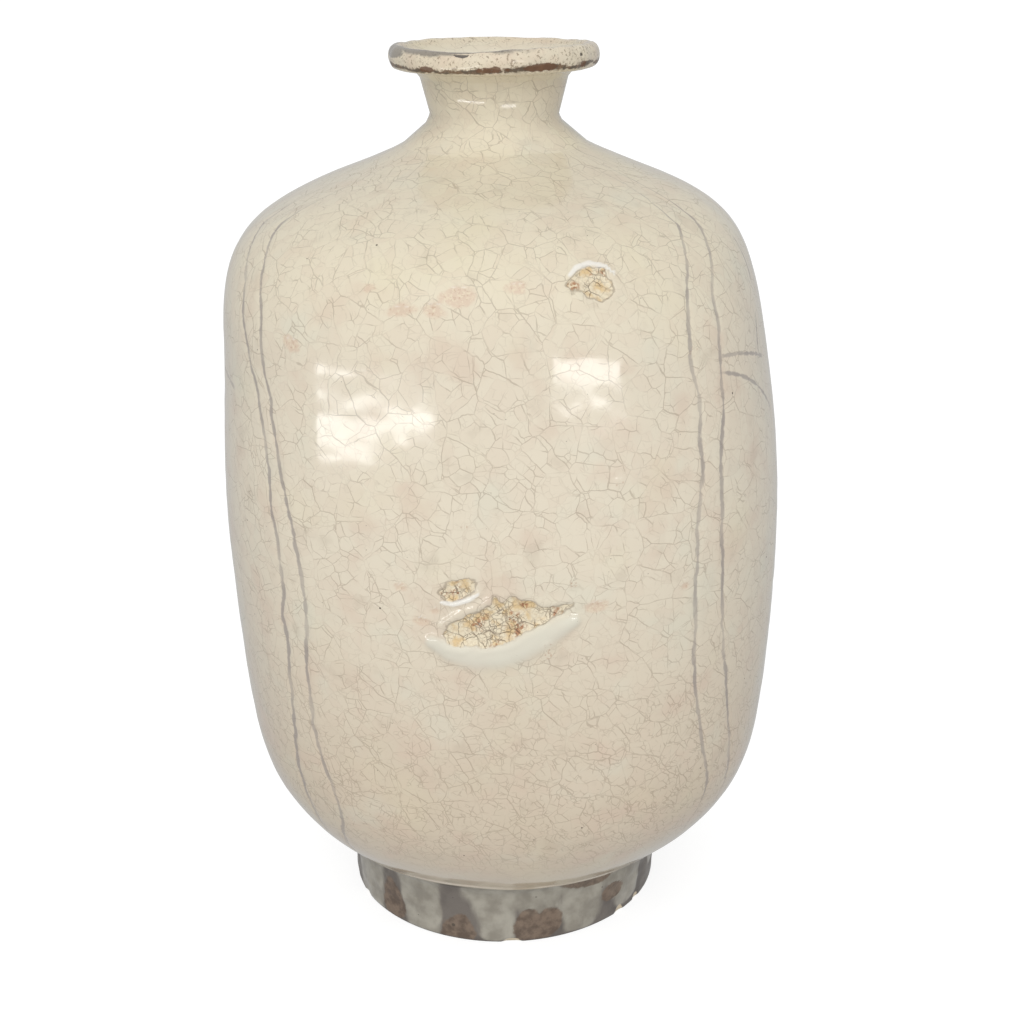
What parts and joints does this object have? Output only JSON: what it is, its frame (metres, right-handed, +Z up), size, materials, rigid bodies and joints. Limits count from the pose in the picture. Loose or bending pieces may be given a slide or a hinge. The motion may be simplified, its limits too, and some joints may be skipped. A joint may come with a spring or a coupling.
{
  "type": "sake bottle",
  "caption": "Soft-square stoneware sake bottle with a round foot, sloping shoulder, short neck, rolled lip and crackled cream glaze.",
  "frame": {"origin": "centre of the foot's resting plane, which is the bottom centre of the bounding box", "axes": "+Z up, out of the mouth; the four paddled faces look along +X, -X, +Y and -Y; the front face looks along -Y"},
  "size_m": [0.1503, 0.1502, 0.24],
  "materials": {
    "foot_clay": "matte, bare clay with thin grey glaze splashes",
    "body_clay": "matte, fired clay under the glaze",
    "cream_glaze": "glossy, crackled",
    "mouth_glaze": "glossy, speckled, rust brown under the roll",
    "inner_glaze": "glossy"
  },
  "bodies": {
    "root": {"foot_ring": "foot_clay", "base_floor": "foot_clay", "body_wall": "body_clay", "neck_collar": "body_clay", "rolled_lip": "body_clay", "outer_glaze": "cream_glaze", "inner_glaze": "inner_glaze", "mouth_glaze": "mouth_glaze"}
  },
  "joints": []
}
